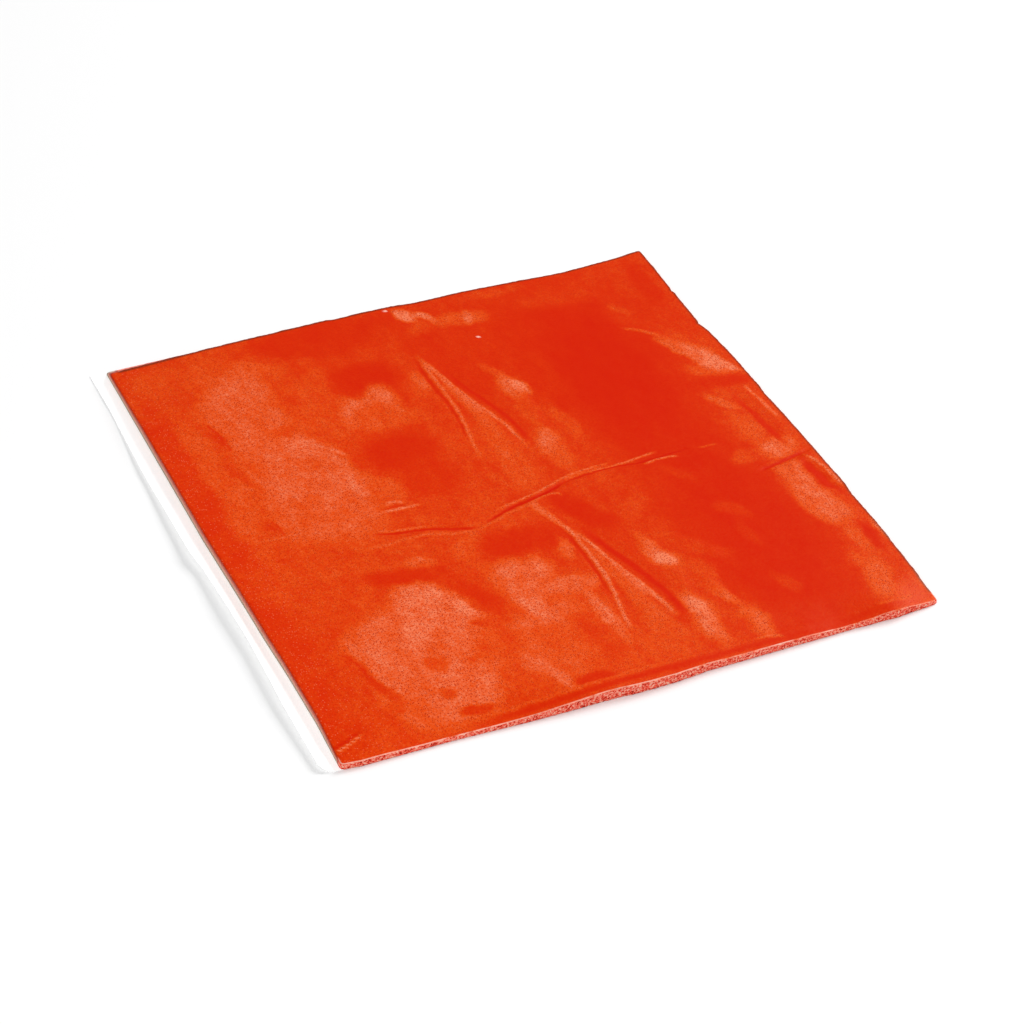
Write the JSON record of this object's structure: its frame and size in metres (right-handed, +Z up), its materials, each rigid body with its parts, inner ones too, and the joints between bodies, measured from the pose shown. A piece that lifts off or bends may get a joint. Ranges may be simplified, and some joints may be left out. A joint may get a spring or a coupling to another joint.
{
  "type": "clay pad",
  "caption": "Thin square pad of tacky mouldable clay lying on a white release liner, which runs past one side as a tab for peeling the two apart.",
  "frame": {"origin": "centre of the footprint, on the surface that the liner rests on", "axes": "+Z up, +X across from the peel tab towards the far side, +Y from front to back along the tab"},
  "size_m": [0.183, 0.178, 0.0034],
  "materials": {
    "release_paper": "satin",
    "clay": "satin"
  },
  "bodies": {
    "liner": {"release_liner": "release_paper"},
    "pad": {"clay_pad": "clay"}
  },
  "joints": [
    {"name": "pad_peel", "type": "hinge", "parent": "liner", "child": "pad", "pos_m": [0.0915, 0, 0.00018], "axis": [0, 1, 0], "range_deg": [0, 90]}
  ]
}
